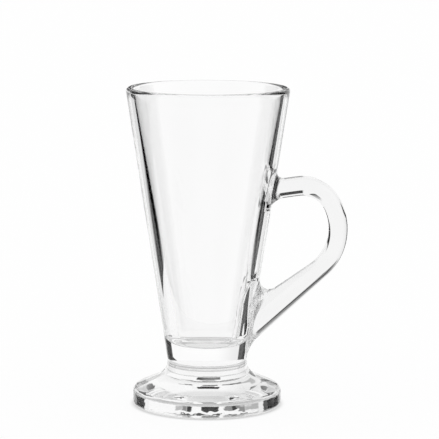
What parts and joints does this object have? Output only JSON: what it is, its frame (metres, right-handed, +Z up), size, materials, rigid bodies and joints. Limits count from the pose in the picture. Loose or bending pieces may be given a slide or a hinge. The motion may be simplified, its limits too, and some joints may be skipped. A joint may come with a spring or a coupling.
{
  "type": "irish coffee glass mug",
  "caption": "Clear glass footed mug for hot coffee drinks: tall conical bowl with a thick base, narrow neck, round foot and a looped side handle.",
  "frame": {"origin": "middle of the foot, on the plane that the mug stands on", "axes": "+Z up along the bowl's axis, +X towards the handle, which lies in the XZ plane"},
  "size_m": [0.1015, 0.0746, 0.147],
  "materials": {
    "clear_glass": "clear, colourless, fire-polished"
  },
  "bodies": {
    "root": {"bowl": "clear_glass", "foot": "clear_glass", "handle": "clear_glass"}
  },
  "joints": []
}
